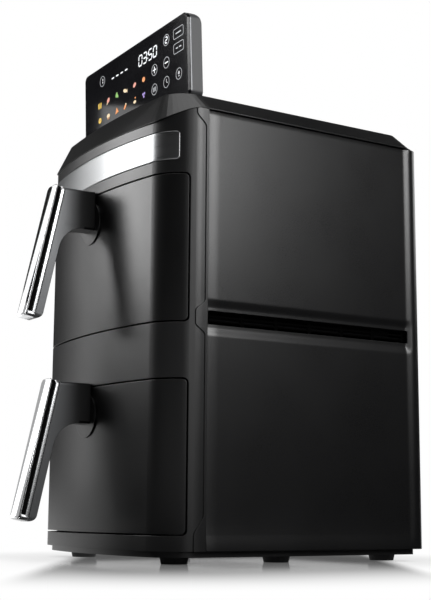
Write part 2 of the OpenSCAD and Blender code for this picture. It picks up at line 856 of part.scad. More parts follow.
module handle() {
    neck_z = drawer_z + drawer_h + neck_rise - neck_h;
    // the arch under the neck meets the grip's back without a step
    arch_z = neck_z - arch_r;
    arch_y = grip_back(arch_z) + arch_r / cos(grip_lean);
    meet = [arch_y - arch_r * cos(grip_lean), arch_z + arch_r * sin(grip_lean)];
    sunk = 2;
    color("#4a4b4d") difference() {
        union() {
            in_grip() intersection() {
                grip_slab(body_t0, grip_t);
                along_x(-big, big) translate([body_t0 - 20, 2.5])
                    round_rect(grip_t - body_t0 + 20, grip_len - 2.5, 7);
            }
            // neck, with nothing in front of the grip's body
            intersection() {
                along_y(-big, -rose_t) translate([-grip_w / 2, neck_z]) round_rect(grip_w, neck_h, 2.5);
                in_grip() block([-big, body_t0, -big], [big, big, big]);
            }
            along_x(-grip_w / 2, grip_w / 2) difference() {
                polygon([meet - [sunk, 0], meet, [arch_y, neck_z], [arch_y, neck_z + sunk],
                    [meet[0] - sunk, neck_z + sunk]]);
                translate([arch_y, arch_z]) circle(arch_r);
            }
        }
        for (drop = screw_drops) translate([0, -16, drawer_z + drawer_h - drop]) rotate([-90, 0, 0])
            cylinder(d = screw_d + 0.04, h = 20);
    }
}

module grip_bezel() {
    color("#d4d5d6") in_grip() {
        grip_slab(face_t + spacer_t, body_t0);
        // cap that closes the lower end in front of the strip
        intersection() {
            grip_slab(face_t, body_t0);
            block([-grip_w, face_t - 1, grip_len - cap_t], [grip_w, body_t0, grip_len + 1]);
        }
    }
}

module grip_spacer() {
    color("#050505") in_grip() intersection() {
        grip_slab(face_t, face_t + spacer_t, 0.7);
        block([-grip_w, 0, 0], [grip_w, body_t0, grip_len - cap_t]);
    }
}

module grip_face() {
    color("#e3e4e5") in_grip() hull() {
        grip_slab(0, 0.1, grip_edge);
        grip_slab(grip_edge, face_t);
    }
}

module handle_rose() {
    color("#4c4d4f") difference() {
        translate([0, -rose_t, drawer_z + drawer_h - rose_drop]) rotate([-90, 0, 0])
            cylinder(r = rose_r, h = 6);
        slice(drawer_z - 5, drawer_z + drawer_h + 5, -lip, big, lip - rose_seat);
        for (drop = screw_drops) translate([0, -5, drawer_z + drawer_h - drop]) rotate([-90, 0, 0])
            cylinder(d = screw_d + 0.4, h = 20);
    }
}

module handle_screws() {
    color("#77797c") for (drop = screw_drops)
        translate([0, wall + fit_gap, drawer_z + drawer_h - drop]) rotate([-90, 0, 0]) {
            cylinder(d = 2 * screw_d, h = 2.4);
            translate([0, 0, -18]) cylinder(d = screw_d, h = 18);
        }
}

// ---------- touch panel, in its own frame: hinge line at the origin, glass facing -Y ----------

module in_panel() {
    translate([0, hinge_y, hinge_z]) rotate([panel_lean, 0, 0]) children();
}

module panel_slab(t0, t1, inset = 0) {
    translate([0, t1 - glass_off, 0]) rotate([90, 0, 0]) linear_extrude(t1 - t0)
        translate([inset - panel_w / 2, panel_foot + inset])
            round_rect(panel_w - 2 * inset, panel_top - panel_foot - 2 * inset, panel_r);
}

module panel_glass() {
    color("#08080a") place() in_panel() panel_slab(0, glass_t, 0.15);
}

module panel_trim() {
    color("#c9cacc") place() in_panel() difference() {
        panel_slab(glass_t, glass_t + trim_t);
        panel_slab(glass_t - 1, glass_t + trim_t + 1, 4);
    }
}

module panel_case() {
    t0 = glass_t + trim_t;
    color("#6b6d70") place() in_panel() difference() {
        union() {
            intersection() {
                panel_slab(t0, panel_t);
                along_x(-big, big) translate([t0 - glass_off - 30, panel_foot - 20])
                    round_rect(case_t + 30, panel_top - panel_foot + 20, panel_back_r);
            }
            // tongue and barrel of the hinge
            translate([-tongue_w / 2, 0, 0]) rotate([0, 90, 0]) cylinder(r = barrel_r, h = tongue_w);
            block([-tongue_w / 2, -5, 0], [tongue_w / 2, panel_t - glass_off, panel_foot + 1]);
        }
        // hollow for the display board, open towards the glass
        panel_slab(t0 - 1, panel_t - 2.4, 4);
        for (s = [-1, 1]) translate([s * (tongue_w - pin_len + 1) / 2, 0, 0]) rotate([0, 90, 0])
            cylinder(d = pin_d + 0.04, h = pin_len + 1, center = true);
        // room for the bracket's round head
        for (s = [-1, 1]) translate([s * (tongue_w + bracket_gap + bracket_t + 0.3) / 2, 0, 0])
            rotate([0, 90, 0]) cylinder(r = head_r + 0.6, h = bracket_t + 2 * bracket_gap, center = true);
    }
    // bosses that the display board rests on
    color("#6b6d70") place() in_panel() for (x = [-70, 0, 70])
        translate([x, panel_t - 2 - glass_off, panel_top / 2]) rotate([90, 0, 0])
            cylinder(r = 3, h = panel_t - 2 - board_t1 - 0.1);
}

module display_board() {
    color("#2e5a3a") place() in_panel() panel_slab(glass_t + 0.2, board_t1, 4.6);
}

module hinge_pins() {
    x1 = tongue_w / 2 + bracket_gap + bracket_t + pin_out;
    color("#b9bbbd") place() in_panel() for (s = [-1, 1])
        translate([s * (x1 - pin_len / 2), 0, 0]) rotate([0, 90, 0])
            cylinder(d = pin_d, h = pin_len, center = true);
}

module hinge_brackets() {
    x = tongue_w / 2 + bracket_gap + bracket_t / 2;
    color("#8b8d90") place() for (s = [-1, 1]) difference() {
        union() {
            translate([s * x, hinge_y, hinge_z]) rotate([0, 90, 0])
                cylinder(r = head_r, h = bracket_t, center = true);
            translate([s * x, hinge_y, (trough_z + hinge_z) / 2])
                cube([bracket_t, 2 * head_r, hinge_z - trough_z], center = true);
            translate([s * x, hinge_y, trough_z + bracket_foot_t / 2])
                cube([bracket_t, 2 * (barrel_r + bracket_toe), bracket_foot_t], center = true);
        }
        translate([s * x, hinge_y, hinge_z]) rotate([0, 90, 0])
            cylinder(d = pin_d + 2 * fit_gap, h = 20, center = true);
    }
}

// ---------- pieces that come in pairs ----------

module right_side() {
    color("#2c2c2e") place() side_panel();
}

module left_side() {
    color("#2c2c2e") place() mirror([1, 0, 0]) side_panel();
}

module lower() {
    place() children();
}

module upper() {
    translate([0, 0, drawer_pitch]) place() children();
}

base_plate();
feet();
front_frame();
left_side();  // side_panel_left
right_side();  // side_panel_right
place() mirror([1, 0, 0]) side_vent();  // side_vent_left
place() side_vent();  // side_vent_right
top_cover();
chrome_band();
rear_panel();
upper() exhaust(duct_z);  // exhaust_upper
lower() exhaust(duct_z);  // exhaust_lower
cord_gland();
mid_deck();
upper() chamber();  // chamber_upper
lower() chamber();  // chamber_lower
upper() heater();  // heater_upper
lower() heater();  // heater_lower
upper() heater_guard();  // heater_guard_upper
lower() heater_guard();  // heater_guard_lower
upper() motor();  // motor_upper
lower() motor();  // motor_lower
upper() motor_shaft();  // motor_shaft_upper
lower() motor_shaft();  // motor_shaft_lower
upper() hot_fan();  // hot_fan_upper
lower() hot_fan();  // hot_fan_lower
upper() cooling_fan();  // cooling_fan_upper
lower() cooling_fan();  // cooling_fan_lower
power_board();
housing_screws();
hinge_brackets();
upper() drawer_front();  // drawer_front_upper
lower() drawer_front();  // drawer_front_lower
upper() drawer_inner();  // drawer_inner_upper
lower() drawer_inner();  // drawer_inner_lower
upper() basket();  // basket_upper
lower() basket();  // basket_lower
upper() crisper_tray();  // crisper_tray_upper
lower() crisper_tray();  // crisper_tray_lower
upper() tray_bumpers();  // tray_bumpers_upper
lower() tray_bumpers();  // tray_bumpers_lower
upper() handle();  // handle_upper
lower() handle();  // handle_lower
upper() grip_bezel();  // grip_bezel_upper
lower() grip_bezel();  // grip_bezel_lower
upper() grip_spacer();  // grip_spacer_upper
lower() grip_spacer();  // grip_spacer_lower
upper() grip_face();  // grip_face_upper
lower() grip_face();  // grip_face_lower
upper() handle_rose();  // handle_rose_upper
lower() handle_rose();  // handle_rose_lower
upper() handle_screws();  // handle_screws_upper
lower() handle_screws();  // handle_screws_lower
panel_case();
panel_trim();
panel_glass();
display_board();
hinge_pins();
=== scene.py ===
"""Dresses a stacked two-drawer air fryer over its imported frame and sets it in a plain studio."""

import json
import logging
import math
from dataclasses import dataclass, field
from enum import Enum
from typing import Callable, Iterable, Sequence

import bpy
from mathutils import Matrix, Vector


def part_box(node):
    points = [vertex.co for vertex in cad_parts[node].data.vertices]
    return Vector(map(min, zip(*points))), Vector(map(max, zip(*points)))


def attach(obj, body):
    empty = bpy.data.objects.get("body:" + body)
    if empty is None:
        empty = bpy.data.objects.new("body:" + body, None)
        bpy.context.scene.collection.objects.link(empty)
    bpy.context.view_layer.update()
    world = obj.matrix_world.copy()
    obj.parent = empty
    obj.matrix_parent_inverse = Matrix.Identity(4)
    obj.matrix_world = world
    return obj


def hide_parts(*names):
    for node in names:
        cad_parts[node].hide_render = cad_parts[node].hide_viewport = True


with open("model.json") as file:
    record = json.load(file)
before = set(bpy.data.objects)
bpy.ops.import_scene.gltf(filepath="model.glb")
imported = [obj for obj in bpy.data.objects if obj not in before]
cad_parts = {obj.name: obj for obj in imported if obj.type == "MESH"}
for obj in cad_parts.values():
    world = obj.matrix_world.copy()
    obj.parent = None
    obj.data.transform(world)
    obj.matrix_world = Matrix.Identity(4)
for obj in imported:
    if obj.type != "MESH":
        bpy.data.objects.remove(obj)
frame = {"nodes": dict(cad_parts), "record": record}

log = logging.getLogger("air_fryer")
Colour = tuple[float, float, float]
Point = tuple[float, float, float]
Flat = tuple[float, float]

NOSE_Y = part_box("drawer_front_upper")[0].y
# turns a plate's X, Y and Z into across, up and out of the front
UPRIGHT = Matrix(((1, 0, 0, 0), (0, 0, -1, 0), (0, 1, 0, 0), (0, 0, 0, 1)))


class Body(Enum):
    """The rigid bodies that pieces ride on."""

    HOUSING = "housing"
    UPPER = "drawer_upper"
    LOWER = "drawer_lower"
    PANEL = "panel"


# ---------- shader graph ----------


class Term:
    """A socket's value in a material, on which Python's operators build Math nodes."""

    def __init__(self, graph: "Graph", socket: bpy.types.NodeSocket) -> None:
        """Keeps the graph and the output socket.

        Args:
            graph: The material graph that the socket is in.
            socket: The output socket that carries the value.
        """
        self.graph = graph
        self.socket = socket

    def _math(self, operation: str, first: object, second: object) -> "Term":
        """Adds one Math node.

        Args:
            operation: The Math node's operation.
            first: A term or a number.
            second: A term or a number.

        Returns:
            The node's value.
        """
        return self.graph.node("ShaderNodeMath", {"operation": operation}, {0: first, 1: second})

    def __add__(self, other: object) -> "Term":
        """Sum."""
        return self._math("ADD", self, other)

    __radd__ = __add__

    def __sub__(self, other: object) -> "Term":
        """Difference."""
        return self._math("SUBTRACT", self, other)

    def __rsub__(self, other: object) -> "Term":
        """Difference from a number."""
        return self._math("SUBTRACT", other, self)

    def __mul__(self, other: object) -> "Term":
        """Product."""
        return self._math("MULTIPLY", self, other)

    def __pow__(self, other: object) -> "Term":
        """Power."""
        return self._math("POWER", self, other)

    def clamp(self) -> "Term":
        """The value held between 0 and 1."""
        return self.graph.node("ShaderNodeClamp", {}, {"Value": self})

    def magnitude(self) -> "Term":
        """The value without its sign."""
        return self._math("ABSOLUTE", self, 0.0)

    def soft_step(self, start: float, end: float) -> "Term":
        """A smooth rise from 0 to 1.

        Args:
            start: Where it leaves 0.
            end: Where it reaches 1; less than start for a fall.

        Returns:
            The step's value.
        """
        settings = {"interpolation_type": "SMOOTHSTEP"}
        inputs = {"Value": self, "From Min": start, "From Max": end}
        return self.graph.node("ShaderNodeMapRange", settings, inputs)


class Graph:
    """The node tree of one material, emptied and ready for a shader."""

    def __init__(self, name: str) -> None:
        """Makes the material.

        Args:
            name: The material's name.
        """
        self.material = bpy.data.materials.new(name)
        self.material.use_nodes = True
        self.tree = self.material.node_tree
        self.tree.nodes.clear()

    def node(self, kind: str, settings: dict, inputs: dict, output: object = 0) -> Term:
        """Adds any node.

        Args:
            kind: The node's type.
            settings: Attributes set before the sockets; "stops" fills a colour ramp.
            inputs: Values or terms by socket name or number.
            output: The name or number of the socket to return.

        Returns:
            The chosen output as a term.
        """
        made = self.tree.nodes.new(kind)
        for key, value in settings.items():
            if key == "stops":
                self._fill(made.color_ramp, value)
            else:
                setattr(made, key, value)
        for key, value in inputs.items():
            socket = made.inputs[key]
            if isinstance(value, Term):
                self.tree.links.new(value.socket, socket)
            else:
                socket.default_value = value
        return Term(self, made.outputs[output])

    @staticmethod
    def _fill(ramp: bpy.types.ColorRamp, stops: Sequence[tuple[float, float]]) -> None:
        """Sets a grey ramp's stops.

        Args:
            ramp: The ramp.
            stops: Pairs of position and grey value, at least two.
        """
        while len(ramp.elements) < len(stops):
            ramp.elements.new(0.5)
        for element, (place, grey) in zip(ramp.elements, stops):
            element.position = place
            element.color = (grey, grey, grey, 1.0)

    def place(self) -> Term:
        """The Object coordinate."""
        return self.node("ShaderNodeTexCoord", {}, {}, "Object")

    def noise(self, scale: float, detail: float = 2.0, stretch: Point = (1, 1, 1)) -> Term:
        """Noise on Object coordinates.

        Args:
            scale: Waves per metre.
            detail: Octaves of finer noise.
            stretch: Extra scale along each axis.

        Returns:
            The noise from 0 to 1.
        """
        mapped = self.node("ShaderNodeMapping", {}, {"Vector": self.place(), "Scale": stretch}, "Vector")
        return self.node(
            "ShaderNodeTexNoise", {}, {"Vector": mapped, "Scale": scale, "Detail": detail}, "Fac"
        )

    def blend(self, factor: object, first: object, second: object) -> Term:
        """Mixes two colours.

        Args:
            factor: Share of the second colour.
            first: Colour or term at 0.
            second: Colour or term at 1.

        Returns:
            The mixed colour.
        """
        made = self.tree.nodes.new("ShaderNodeMix")
        made.data_type = "RGBA"
        sockets = {"Factor": made.inputs[0], "A": made.inputs[6], "B": made.inputs[7]}
        for key, value in (("Factor", factor), ("A", first), ("B", second)):
            if isinstance(value, Term):
                self.tree.links.new(value.socket, sockets[key])
            elif key == "Factor":
                sockets[key].default_value = value
            else:
                sockets[key].default_value = (*value[:3], 1.0)
        return Term(self, made.outputs[2])

    def relief(self, height: Term, depth: float, edge: float = 0.0) -> Term:
        """A bumped normal over slightly rounded edges.

        Args:
            height: Height from 0 to 1.
            depth: Bump distance in metres.
            edge: Radius by which sharp edges look rounded, in metres.

        Returns:
            The normal.
        """
        inputs: dict = {"Height": height, "Distance": depth, "Strength": 1.0}
        if edge > 0:
            inputs["Normal"] = self.node("ShaderNodeBevel", {"samples": 6}, {"Radius": edge})
        return self.node("ShaderNodeBump", {}, inputs)

    def finish(self, **sockets: object) -> bpy.types.Material:
        """Ends the graph in one Principled shader.

        Args:
            sockets: Its sockets, with underscores for spaces.

        Returns:
            The material.
        """
        inputs = {}
        for key, value in sockets.items():
            if isinstance(value, tuple) and len(value) == 3:
                value = (*value, 1.0)
            inputs[key.replace("_", " ")] = value
        shader = self.node("ShaderNodeBsdfPrincipled", {}, inputs, "BSDF")
        out = self.tree.nodes.new("ShaderNodeOutputMaterial")
        self.tree.links.new(shader.socket, out.inputs["Surface"])
        return self.material


# ---------- finishes ----------


@dataclass(frozen=True)
class Plastic:
    """Moulded plastic with a fine grain, faint blotches and slightly rounded edges."""

    name: str
    colour: Colour
    roughness: float = 0.42
    grain: float = 2200.0
    depth: float = 0.00003
    edge: float = 0.0006
    specular: float = 0.5
    blotch: float = 0.18

    def build(self) -> bpy.types.Material:
        """Makes the material.

        Returns:
            The material.
        """
        g = Graph(self.name)
        cloud = g.noise(14.0, 3.0)
        grain = g.noise(self.grain, 2.0)
        dark = [c * (1 - self.blotch) for c in self.colour]
        pale = [min(1.0, c * (1 + self.blotch)) for c in self.colour]
        colour = g.blend(cloud, dark, pale)
        rough = self.roughness + (cloud - 0.5) * 0.06 + (grain - 0.5) * 0.08
        return g.finish(
            Base_Color=colour,
            Roughness=rough.clamp(),
            Specular_IOR_Level=self.specular,
            Normal=g.relief(grain, self.depth, self.edge),
        )


@dataclass(frozen=True)
class Metal:
    """Plated, painted or bare metal with fine streaks along one axis."""

    name: str
    colour: Colour
    roughness: float = 0.08
    streak: Point = (1.0, 1.0, 1.0)
    scale: float = 900.0
    depth: float = 0.000004
    edge: float = 0.0004
    wear: float = 0.05

    def build(self) -> bpy.types.Material:
        """Makes the material.

        Returns:
            The material.
        """
        g = Graph(self.name)
        cloud = g.noise(18.0, 3.0)
        streaks = g.noise(self.scale, 3.0, self.streak)
        colour = g.blend(cloud, [c * (1 - self.wear) for c in self.colour], self.colour)
        rough = self.roughness + (cloud - 0.5) * self.wear + (streaks - 0.5) * self.roughness * 0.6
        return g.finish(
            Base_Color=colour,
            Metallic=1.0,
            Roughness=rough.clamp(),
            Normal=g.relief(streaks, self.depth, self.edge),
        )


@dataclass(frozen=True)
class Handle:
    """Painted metal of the grips' bodies, with painted shade that darkens it to near black and takes away
    its metal sheen where the neck meets the drawer.
    """

    name: str
    colour: Colour
    root_shade: Colour
    roughness: float = 0.34
    grip_y: float = -0.034
    root_y: float = -0.010

    def build(self) -> bpy.types.Material:
        """Makes the material.

        Returns:
            The material.
        """
        g = Graph(self.name)
        y = g.node("ShaderNodeSeparateXYZ", {}, {"Vector": g.place()}, "Y")
        # painted shade: near black, with less metal sheen, towards the drawer front
        near = y.soft_step(NOSE_Y + self.grip_y, NOSE_Y + self.root_y)
        grain = g.noise(1600.0, 2.0)
        colour = g.blend(near, self.colour, self.root_shade)
        return g.finish(
            Base_Color=colour,
            Metallic=(1.0 - near) * 0.5,
            Roughness=(self.roughness + (grain - 0.5) * 0.08).clamp(),
            Normal=g.relief(grain, 0.00001, 0.0006),
        )


@dataclass(frozen=True)
class Lacquer:
    """Gloss black under a clear face, as on touch glass, with faint dust and smears."""

    name: str
    colour: Colour
    roughness: float = 0.06
    edge: float = 0.0004

    def build(self) -> bpy.types.Material:
        """Makes the material.

        Returns:
            The material.
        """
        g = Graph(self.name)
        smear = g.noise(30.0, 4.0, (1.0, 1.0, 2.5))
        dust = g.noise(5000.0, 1.0)
        colour = g.blend(smear, self.colour, [c * 1.5 for c in self.colour])
        return g.finish(
            Base_Color=colour,
            Roughness=(self.roughness + smear * 0.05).clamp(),
            Normal=g.relief(dust, 0.000001, self.edge),
        )


@dataclass(frozen=True)
class Lamp:
    """A lit symbol behind glass."""

    name: str
    colour: Colour
    strength: float = 1.0

    def build(self) -> bpy.types.Material:
        """Makes the material.

        Returns:
            The material.
        """
        g = Graph(self.name)
        glow = g.noise(500.0, 1.0)
        colour = g.blend(glow, [c * 0.85 for c in self.colour], self.colour)
        return g.finish(
            Base_Color=tuple(c * 0.2 for c in self.colour),
            Emission_Color=colour,
            Emission_Strength=self.strength,
            Roughness=0.3,
        )


@dataclass(frozen=True)
class Board:
    """A circuit board with solder resist and pale tracks."""

    name: str
    colour: Colour

    def build(self) -> bpy.types.Material:
        """Makes the material.

        Returns:
            The material.
        """
        g = Graph(self.name)
        cells = g.node(
            "ShaderNodeTexVoronoi", {"feature": "DISTANCE_TO_EDGE"}, {"Vector": g.place(), "Scale": 180.0}
        )
        track = g.node("ShaderNodeValToRGB", {"stops": [(0.02, 1.0), (0.06, 0.0)]}, {"Fac": cells}, "Color")
        colour = g.blend(track, self.colour, [c * 2.6 for c in self.colour])
        return g.finish(Base_Color=colour, Roughness=0.35, Normal=g.relief(cells, 0.00003))


class Finish(Enum):
    """Every finish on the object, by the record's slot or by its place."""

    BODY = Plastic("satin_black_body", (0.005, 0.005, 0.0053), 0.32)
    DRAWER = Plastic("matte_black_drawer", (0.0015, 0.0015, 0.0017), 0.3, 1600.0)
    # black vent plastic, darkened to near lightless with almost no gloss: partly its own black, partly
    # painted shade deep in the air slot
    VENT = Plastic("slot_shade_black_vent", (0.0008, 0.0008, 0.0008), 0.8, edge=0.0, specular=0.02)
    # painted shadow: black gap strips with almost no gloss stand for the shadow lines between parts
    GAP = Plastic("shadow_line_black_gap", (0.0015, 0.0015, 0.0015), 0.7, edge=0.0, specular=0.05)
    GLASS = Lacquer("touch_glass", (0.004, 0.004, 0.005))
    CHROME = Metal("polished_chrome", (0.86, 0.87, 0.88), 0.05, depth=0.0000003, edge=0.0)
    STRIP = Metal("bright_strip", (0.78, 0.79, 0.80), 0.28, depth=0.0000003, edge=0.0)
    BAND = Metal("brushed_chrome", (0.30, 0.305, 0.31), 0.31, (1.0, 1.0, 60.0), 16.0, 0.000003, 0.0)
    SIDE = Plastic("satin_black_side", (0.004, 0.004, 0.0043), 0.29, edge=0.0)
    SILVER = Metal("bright_silver_edge", (0.15, 0.153, 0.158), 0.33)
    # the second colour is painted shade where the neck meets the drawer
    HANDLE = Handle("satin_dark_grey", (0.085, 0.087, 0.09), (0.0015, 0.0015, 0.0017))
    PANEL = Plastic("satin_grey_panel", (0.045, 0.046, 0.048), 0.42)
    SHEET = Metal("zinc_sheet", (0.42, 0.43, 0.44), 0.38, (1.0, 1.0, 0.1), 500.0)
    # painted shade: near-black sheet metal for the parts inside the housing
    SHADE = Metal("inner_shade_dark_sheet", (0.012, 0.012, 0.013), 0.6, (1.0, 1.0, 0.1), 500.0)
    STEEL = Metal("turned_steel", (0.56, 0.57, 0.58), 0.25, (1.0, 1.0, 0.05), 1500.0)
    HEATER = Metal("heat_tinted_tube", (0.24, 0.21, 0.19), 0.42, wear=0.25)
    COATING = Plastic("non_stick_coating", (0.02, 0.02, 0.022), 0.5, 900.0, 0.00004, 0.0008)
    RUBBER = Plastic("black_rubber", (0.012, 0.012, 0.013), 0.75, 1200.0, 0.00004)
    FAN = Metal("pressed_aluminium", (0.45, 0.46, 0.47), 0.33)
    CIRCUIT = Board("circuit_board", (0.02, 0.09, 0.04))

    def dress(self, piece: bpy.types.Object) -> None:
        """Puts the finish on all of a piece's slots.

        Args:
            piece: The mesh.
        """
        material = bpy.data.materials.get(self.value.name) or self.value.build()
        if not piece.material_slots:
            piece.data.materials.append(material)
        for slot in piece.material_slots:
            slot.material = material


SLOTS: dict[str, Finish] = {
    "body_black": Finish.BODY,
    "drawer_black": Finish.DRAWER,
    "chrome": Finish.CHROME,
    "handle_grey": Finish.HANDLE,
    "gap_black": Finish.GAP,
    "panel_glass": Finish.GLASS,
    "panel_silver": Finish.SILVER,
    "panel_grey": Finish.PANEL,
    "circuit_green": Finish.CIRCUIT,
    "steel_sheet": Finish.SHEET,
    "steel_bright": Finish.STEEL,
    "heater_steel": Finish.HEATER,
    "pan_coating": Finish.COATING,
    "rubber_black": Finish.RUBBER,
    "vent_black": Finish.VENT,
    "fan_grey": Finish.FAN,
}


def dress_nodes() -> None:
    """Gives every CAD node the finish of its slot in the record, or one of its own."""
    own = dict.fromkeys(("handle_rose_upper", "handle_rose_lower"), Finish.DRAWER)
    # painted shade: the chambers and the mid deck inside the housing wear near-black sheet instead of their
    # slot's finish
    own |= dict.fromkeys(("mid_deck", "chamber_upper", "chamber_lower"), Finish.SHADE)
    for part in frame["record"]["subparts"]:
        finish = own.get(part["node"], SLOTS[part["material_slot"]])
        finish.dress(frame["nodes"][part["node"]])
        log.info("%s wears %s", part["node"], finish.value.name)


# ---------- modelling ----------


def deselect() -> None:
    """Leaves edit mode with nothing selected."""
    if bpy.context.object and bpy.context.object.mode != "OBJECT":
        bpy.ops.object.mode_set(mode="OBJECT")
    bpy.ops.object.select_all(action="DESELECT")


def join(pieces: Sequence[bpy.types.Object], name: str) -> bpy.types.Object:
    """Joins meshes into one.

    Args:
        pieces: The meshes, at least one.
        name: The name of the joined mesh.

    Returns:
        The joined mesh.
    """
    deselect()
    for piece in pieces:
        piece.select_set(True)
    bpy.context.view_layer.objects.active = pieces[0]
    if len(pieces) > 1:
        bpy.ops.object.join()
    pieces[0].name = name
    return pieces[0]


def plates(
    name: str, outlines: Sequence[Sequence[Flat]], thickness: float, line: float = 0.0
) -> bpy.types.Object:
    """Flat plates that start as filled circles, drawn out to their outlines.

    Args:
        name: The piece's name.
        outlines: Each plate's outline in its own plane, anticlockwise.
        thickness: How far the plates rise from their plane.
        line: Width of the rim that is left of each plate; 0 keeps it whole.

    Returns:
        One mesh with all the plates.
    """
    made = []
    for outline in outlines:
        deselect()
        bpy.ops.mesh.primitive_circle_add(vertices=len(outline), radius=1.0, fill_type="NGON")
        plate = bpy.context.active_object
        for vertex, (x, y) in zip(plate.data.vertices, outline):
            vertex.co = (x, y, 0.0)
        bpy.ops.object.mode_set(mode="EDIT")
        bpy.ops.mesh.select_all(action="SELECT")
        if line > 0:
            bpy.ops.mesh.inset(thickness=line, depth=0.0)
            bpy.ops.mesh.delete(type="FACE")
            bpy.ops.mesh.select_all(action="SELECT")
        bpy.ops.mesh.extrude_region_move(TRANSFORM_OT_translate={"value": (0, 0, thickness)})
        bpy.ops.mesh.select_all(action="SELECT")
        bpy.ops.mesh.normals_make_consistent(inside=False)
        bpy.ops.object.mode_set(mode="OBJECT")
        made.append(plate)
    return join(made, name)


def sheet(
    name: str, rows: Sequence[Sequence[Point]], holes: Callable[[Vector], bool] | None = None
) -> bpy.types.Object:
    """An open surface that starts as a grid and is drawn out to its points.

    Args:
        name: The piece's name.
        rows: The points, row by row, each row as long as the first.
        holes: Says of a face's middle whether the face is left out.

    Returns:
        The mesh.
    """
    deselect()
    bpy.ops.mesh.primitive_grid_add(x_subdivisions=len(rows[0]) - 1, y_subdivisions=len(rows) - 1)
    piece = bpy.context.active_object
    piece.name = name
    for vertex, point in zip(piece.data.vertices, (p for row in rows for p in row)):
        vertex.co = point
    if holes:
        bpy.ops.object.mode_set(mode="EDIT")
        bpy.ops.mesh.select_mode(type="FACE")
        bpy.ops.mesh.select_all(action="DESELECT")
        bpy.ops.object.mode_set(mode="OBJECT")
        for face in piece.data.polygons:
            face.select = holes(face.center)
        bpy.ops.object.mode_set(mode="EDIT")
        bpy.ops.mesh.delete(type="FACE")
        bpy.ops.object.mode_set(mode="OBJECT")
    return piece


def modify(piece: bpy.types.Object, kind: str, **settings: object) -> None:
    """Adds one modifier and applies it.

    Args:
        piece: The mesh.
        kind: The modifier's type.
        settings: Its settings.
    """
    deselect()
    piece.select_set(True)
    bpy.context.view_layer.objects.active = piece
    modifier = piece.modifiers.new(kind.lower(), kind)
    for key, value in settings.items():
        setattr(modifier, key, value)
    bpy.ops.object.modifier_apply(modifier=modifier.name)


def round_edges(piece: bpy.types.Object, width: float, segments: int) -> None:
    """Rounds the edges of a mesh that are sharper than 60 degrees.

    Args:
        piece: The mesh.
        width: How far the rounding reaches from the edge.
        segments: Its steps.
    """
    sharp = math.radians(60)
    modify(piece, "BEVEL", width=width, segments=segments, limit_method="ANGLE", angle_limit=sharp)


def smooth(piece: bpy.types.Object, degrees: float = 35.0) -> None:
    """Shades a mesh smooth, apart from edges sharper than an angle.

    Args:
        piece: The mesh.
        degrees: The angle.
    """
    deselect()
    piece.select_set(True)
    bpy.context.view_layer.objects.active = piece
    bpy.ops.object.shade_smooth_by_angle(angle=math.radians(degrees))


def round_outline(
    width: float, height: float, radius: float, centre: Flat = (0.0, 0.0), count: int = 8
) -> list[Flat]:
    """Outline of a rectangle with round corners.

    Args:
        width: Its width.
        height: Its height.
        radius: Its corners' radius.
        centre: Its middle.
        count: Steps in each corner.

    Returns:
        Its points, anticlockwise.
    """
    points = []
    for k, (sx, sy) in enumerate(((1, 1), (-1, 1), (-1, -1), (1, -1))):
        for i in range(count + 1):
            angle = math.radians(90 * k + 90 * i / count)
            points.append(
                (
                    centre[0] + sx * (width / 2 - radius) + radius * math.cos(angle),
                    centre[1] + sy * (height / 2 - radius) + radius * math.sin(angle),
                )
            )
    return points


def oval(width: float, height: float, centre: Flat, turn: float = 0.0, count: int = 20) -> list[Flat]:
    """Outline of an ellipse.

    Args:
        width: Its width.
        height: Its height.
        centre: Its middle.
        turn: Its turn in degrees.
        count: How many points it has.

    Returns:
        Its points, anticlockwise.
    """
    c, s = math.cos(math.radians(turn)), math.sin(math.radians(turn))
    points = []
    for i in range(count):
        angle = 2 * math.pi * i / count
        x, y = width / 2 * math.cos(angle), height / 2 * math.sin(angle)
        points.append((centre[0] + x * c - y * s, centre[1] + x * s + y * c))
    return points


def bar(start: Flat, end: Flat, width: float) -> list[Flat]:
    """Outline of a straight stroke with pointed ends.

    Args:
        start: Where it starts.
        end: Where it ends.
        width: Its width.

    Returns:
        Its points, anticlockwise.
    """
    along = Vector((end[0] - start[0], end[1] - start[1])).normalized()
    side = Vector((-along.y, along.x)) * width / 2
    a, b = Vector(start), Vector(end)
    tip = along * width / 2
    return [tuple(p) for p in (a, a + tip - side, b - tip - side, b, b - tip + side, a + tip + side)]


def blend_step(value: float) -> float:
    """A smooth rise from 0 at 0 to 1 at 1."""
    t = min(max(value, 0.0), 1.0)
    return t * t * (3 - 2 * t)


# ---------- housing ----------


